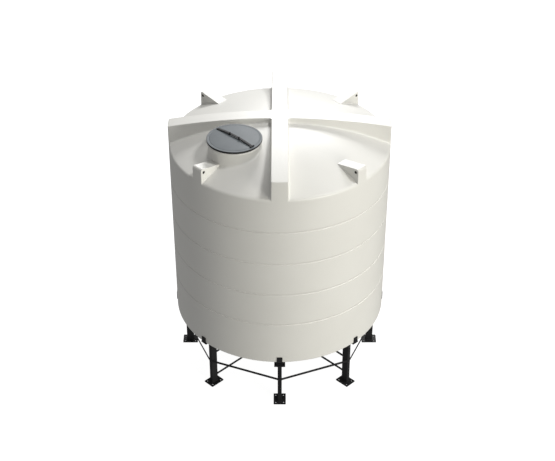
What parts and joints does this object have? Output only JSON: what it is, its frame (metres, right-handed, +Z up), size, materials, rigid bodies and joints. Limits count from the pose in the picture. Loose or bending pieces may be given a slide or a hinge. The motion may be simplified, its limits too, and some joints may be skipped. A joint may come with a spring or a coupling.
{
  "type": "vertical storage tank",
  "caption": "Vertical moulded plastic liquid storage tank with crossed roof ribs, lifting lugs and an offset hinged manway lid, seated on a low steel stand of box-section legs.",
  "frame": {"origin": "the tank's axis at ground level, under the foot plates", "axes": "+Z up along the tank's axis, -Y the front, and +X to the right as seen from the front"},
  "size_m": [2.6206, 2.6206, 3.3893],
  "materials": {
    "shell": "off-white rotationally moulded polyethylene",
    "lid": "blue-grey moulded lid",
    "rubber": "black seal",
    "frame": "black powder-coated steel",
    "fitting": "dark grey moulded fitting"
  },
  "bodies": {
    "tank": {"bottom_outlet": "fitting", "brace_inner_lower": "frame", "brace_inner_upper": "frame", "brace_outer_lower": "frame", "brace_outer_upper": "frame", "cradle_back": "frame", "cradle_front": "frame", "cradle_left": "frame", "cradle_right": "frame", "floor_cone": "shell", "hinge_bracket": "frame", "leg_back": "frame", "leg_back_left": "frame", "leg_back_right": "frame", "leg_front": "frame", "leg_front_left": "frame", "leg_front_right": "frame", "leg_left": "frame", "leg_right": "frame", "lug_back_left": "shell", "lug_back_right": "shell", "lug_front_left": "shell", "lug_front_right": "shell", "manway_neck": "shell", "rib_back": "shell", "rib_front": "shell", "rib_left_right": "shell", "roof": "shell", "tie_back_left_to_left": "frame", "tie_back_right_to_back": "frame", "tie_back_to_back_left": "frame", "tie_front_left_to_front": "frame", "tie_front_right_to_right": "frame", "tie_front_to_front_right": "frame", "tie_left_to_front_left": "frame", "tie_right_to_back_right": "frame", "wall_back_left": "shell", "wall_back_right": "shell", "wall_front_left": "shell", "wall_front_right": "shell"},
    "lid": {"manway_lid": "lid", "lid_gasket": "rubber", "lid_bar": "frame", "lid_hinge_leaf": "frame"}
  },
  "joints": [
    {"name": "manway_lid_hinge", "type": "hinge", "parent": "tank", "child": "lid", "pos_m": [-0.74503, -0.28165, 3.316], "axis": [-0.7071, -0.7071, 0], "range_deg": [0, 105]}
  ]
}
